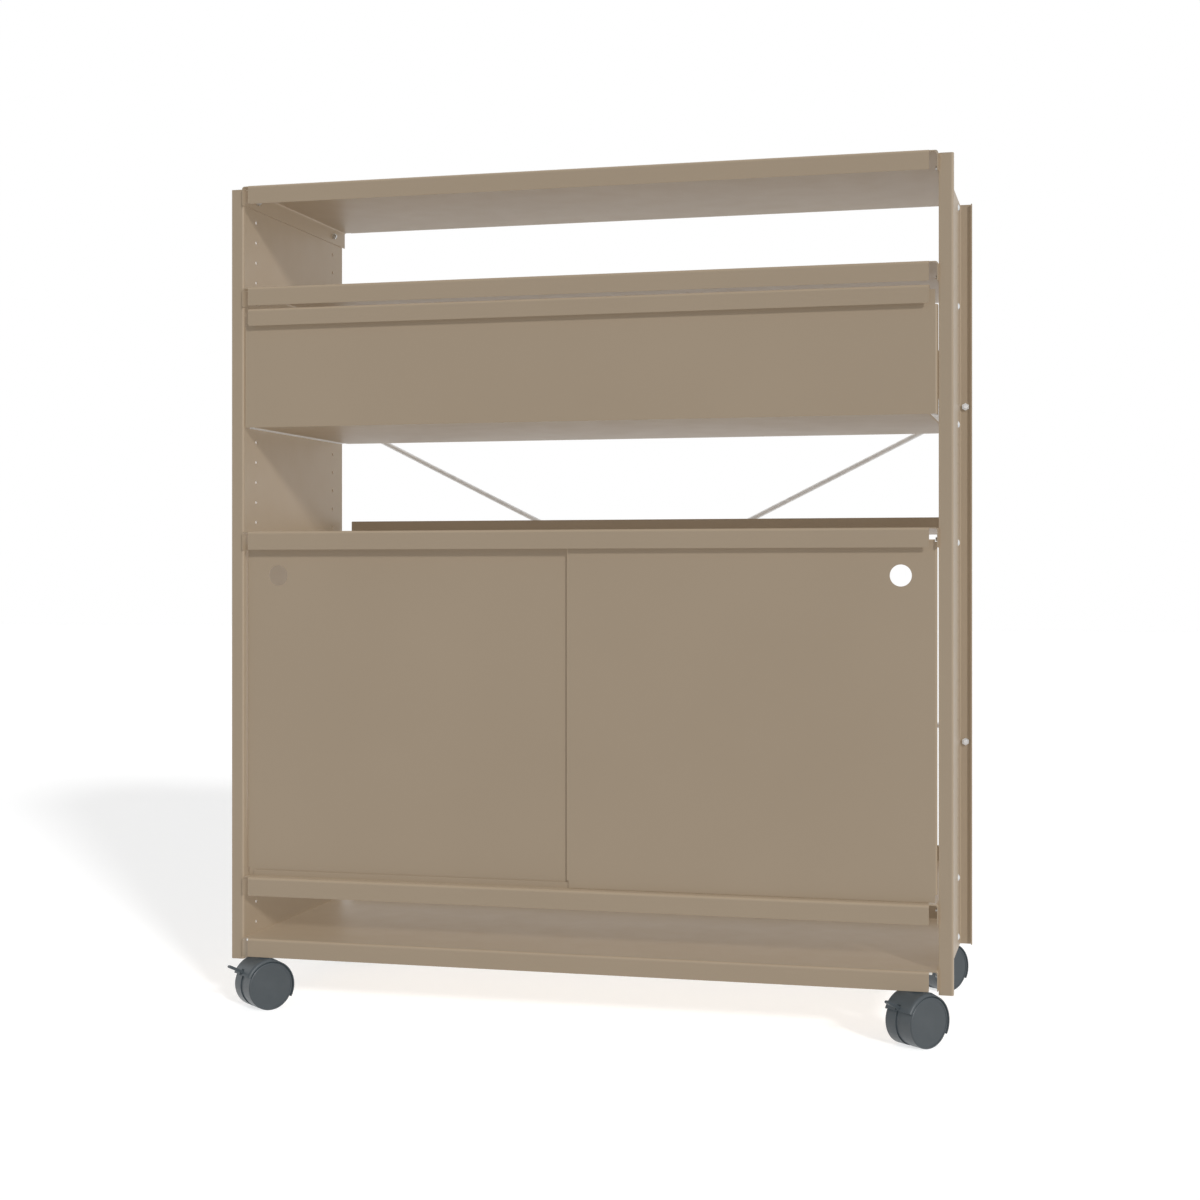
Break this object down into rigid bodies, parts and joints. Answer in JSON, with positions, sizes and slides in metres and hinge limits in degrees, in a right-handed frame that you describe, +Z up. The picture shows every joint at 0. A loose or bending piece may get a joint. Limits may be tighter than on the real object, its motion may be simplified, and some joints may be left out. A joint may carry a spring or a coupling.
{
  "type": "sheet-metal sideboard on casters",
  "caption": "Tall open sideboard of bolted sheet-metal shelves with a wide drawer, sliding doors, a rod brace behind and hooded twin-wheel brake casters.",
  "frame": {"origin": "on the floor under the middle of the sideboard", "axes": "-Y is the front with the drawer and doors, +X is to the right seen from the front, +Z is up"},
  "size_m": [1.058, 0.4724, 1.2395],
  "materials": {
    "painted_sheet": "grey beige powder coat, fine satin",
    "zinc_hardware": "bright zinc plating",
    "galvanised_steel": "dull galvanised steel",
    "glide_nylon": "natural nylon",
    "caster_plastic": "dark blue grey moulded plastic, satin",
    "wheel_plastic": "dark blue grey moulded plastic, satin"
  },
  "bodies": {
    "cabinet": {"side_panel_left": "painted_sheet", "side_panel_right": "painted_sheet", "shelf_top": "painted_sheet", "shelf_upper": "painted_sheet", "shelf_middle": "painted_sheet", "shelf_door_base": "painted_sheet", "shelf_bottom": "painted_sheet", "shelf_bolts": "zinc_hardware", "shelf_nuts": "zinc_hardware", "brace_rod_near": "galvanised_steel", "brace_rod_far": "galvanised_steel", "brace_nuts": "zinc_hardware", "door_track_top": "painted_sheet", "door_rail_bottom": "painted_sheet", "drawer_runner_left": "galvanised_steel", "drawer_runner_right": "galvanised_steel", "runner_bolts": "zinc_hardware", "caster_plates": "zinc_hardware", "caster_weld_nuts": "zinc_hardware", "caster_stem_fl": "zinc_hardware", "caster_stem_fr": "zinc_hardware", "caster_stem_rl": "zinc_hardware", "caster_stem_rr": "zinc_hardware"},
    "drawer": {"drawer_front": "painted_sheet", "drawer_box": "painted_sheet", "drawer_slide_left": "galvanised_steel", "drawer_slide_right": "galvanised_steel"},
    "door_left": {"door_panel_left": "painted_sheet", "door_glides_left": "glide_nylon"},
    "door_right": {"door_panel_right": "painted_sheet", "door_glides_right": "glide_nylon"},
    "caster_fl": {"caster_hood_fl": "caster_plastic", "caster_axle_fl": "zinc_hardware"},
    "wheel_a_fl": {"caster_wheel_a_fl": "wheel_plastic"},
    "wheel_b_fl": {"caster_wheel_b_fl": "wheel_plastic"},
    "brake_fl": {"brake_lever_fl": "caster_plastic"},
    "caster_fr": {"caster_hood_fr": "caster_plastic", "caster_axle_fr": "zinc_hardware"},
    "wheel_a_fr": {"caster_wheel_a_fr": "wheel_plastic"},
    "wheel_b_fr": {"caster_wheel_b_fr": "wheel_plastic"},
    "brake_fr": {"brake_lever_fr": "caster_plastic"},
    "caster_rl": {"caster_hood_rl": "caster_plastic", "caster_axle_rl": "zinc_hardware"},
    "wheel_a_rl": {"caster_wheel_a_rl": "wheel_plastic"},
    "wheel_b_rl": {"caster_wheel_b_rl": "wheel_plastic"},
    "brake_rl": {"brake_lever_rl": "caster_plastic"},
    "caster_rr": {"caster_hood_rr": "caster_plastic", "caster_axle_rr": "zinc_hardware"},
    "wheel_a_rr": {"caster_wheel_a_rr": "wheel_plastic"},
    "wheel_b_rr": {"caster_wheel_b_rr": "wheel_plastic"},
    "brake_rr": {"brake_lever_rr": "caster_plastic"}
  },
  "joints": [
    {"name": "drawer_slide", "type": "slide", "parent": "cabinet", "child": "drawer", "axis": [0, -1, 0], "range_m": [0, 0.3]},
    {"name": "door_left_slide", "type": "slide", "parent": "cabinet", "child": "door_left", "axis": [1, 0, 0], "range_m": [0, 0.49]},
    {"name": "door_right_slide", "type": "slide", "parent": "cabinet", "child": "door_right", "axis": [-1, 0, 0], "range_m": [0, 0.49]},
    {"name": "swivel_fl", "type": "hinge", "parent": "cabinet", "child": "caster_fl", "pos_m": [-0.479, -0.191, 0.08], "axis": [0, 0, 1], "continuous": true},
    {"name": "roll_a_fl", "type": "hinge", "parent": "caster_fl", "child": "wheel_a_fl", "pos_m": [-0.479, -0.191, 0.035], "axis": [0.766, -0.6428, 0], "continuous": true},
    {"name": "roll_b_fl", "type": "hinge", "parent": "caster_fl", "child": "wheel_b_fl", "pos_m": [-0.479, -0.191, 0.035], "axis": [0.766, -0.6428, 0], "continuous": true},
    {"name": "brake_press_fl", "type": "hinge", "parent": "caster_fl", "child": "brake_fl", "pos_m": [-0.49481, -0.20984, 0.0515], "axis": [0.766, -0.6428, 0], "range_deg": [0, 15]},
    {"name": "swivel_fr", "type": "hinge", "parent": "cabinet", "child": "caster_fr", "pos_m": [0.479, -0.191, 0.08], "axis": [0, 0, 1], "continuous": true},
    {"name": "roll_a_fr", "type": "hinge", "parent": "caster_fr", "child": "wheel_a_fr", "pos_m": [0.479, -0.191, 0.035], "axis": [0.766, -0.6428, 0], "continuous": true},
    {"name": "roll_b_fr", "type": "hinge", "parent": "caster_fr", "child": "wheel_b_fr", "pos_m": [0.479, -0.191, 0.035], "axis": [0.766, -0.6428, 0], "continuous": true},
    {"name": "brake_press_fr", "type": "hinge", "parent": "caster_fr", "child": "brake_fr", "pos_m": [0.46319, -0.20984, 0.0515], "axis": [0.766, -0.6428, 0], "range_deg": [0, 15]},
    {"name": "swivel_rl", "type": "hinge", "parent": "cabinet", "child": "caster_rl", "pos_m": [-0.479, 0.191, 0.08], "axis": [0, 0, 1], "continuous": true},
    {"name": "roll_a_rl", "type": "hinge", "parent": "caster_rl", "child": "wheel_a_rl", "pos_m": [-0.479, 0.191, 0.035], "axis": [0.766, -0.6428, 0], "continuous": true},
    {"name": "roll_b_rl", "type": "hinge", "parent": "caster_rl", "child": "wheel_b_rl", "pos_m": [-0.479, 0.191, 0.035], "axis": [0.766, -0.6428, 0], "continuous": true},
    {"name": "brake_press_rl", "type": "hinge", "parent": "caster_rl", "child": "brake_rl", "pos_m": [-0.49481, 0.17216, 0.0515], "axis": [0.766, -0.6428, 0], "range_deg": [0, 15]},
    {"name": "swivel_rr", "type": "hinge", "parent": "cabinet", "child": "caster_rr", "pos_m": [0.479, 0.191, 0.08], "axis": [0, 0, 1], "continuous": true},
    {"name": "roll_a_rr", "type": "hinge", "parent": "caster_rr", "child": "wheel_a_rr", "pos_m": [0.479, 0.191, 0.035], "axis": [0.766, -0.6428, 0], "continuous": true},
    {"name": "roll_b_rr", "type": "hinge", "parent": "caster_rr", "child": "wheel_b_rr", "pos_m": [0.479, 0.191, 0.035], "axis": [0.766, -0.6428, 0], "continuous": true},
    {"name": "brake_press_rr", "type": "hinge", "parent": "caster_rr", "child": "brake_rr", "pos_m": [0.46319, 0.17216, 0.0515], "axis": [0.766, -0.6428, 0], "range_deg": [0, 15]}
  ]
}
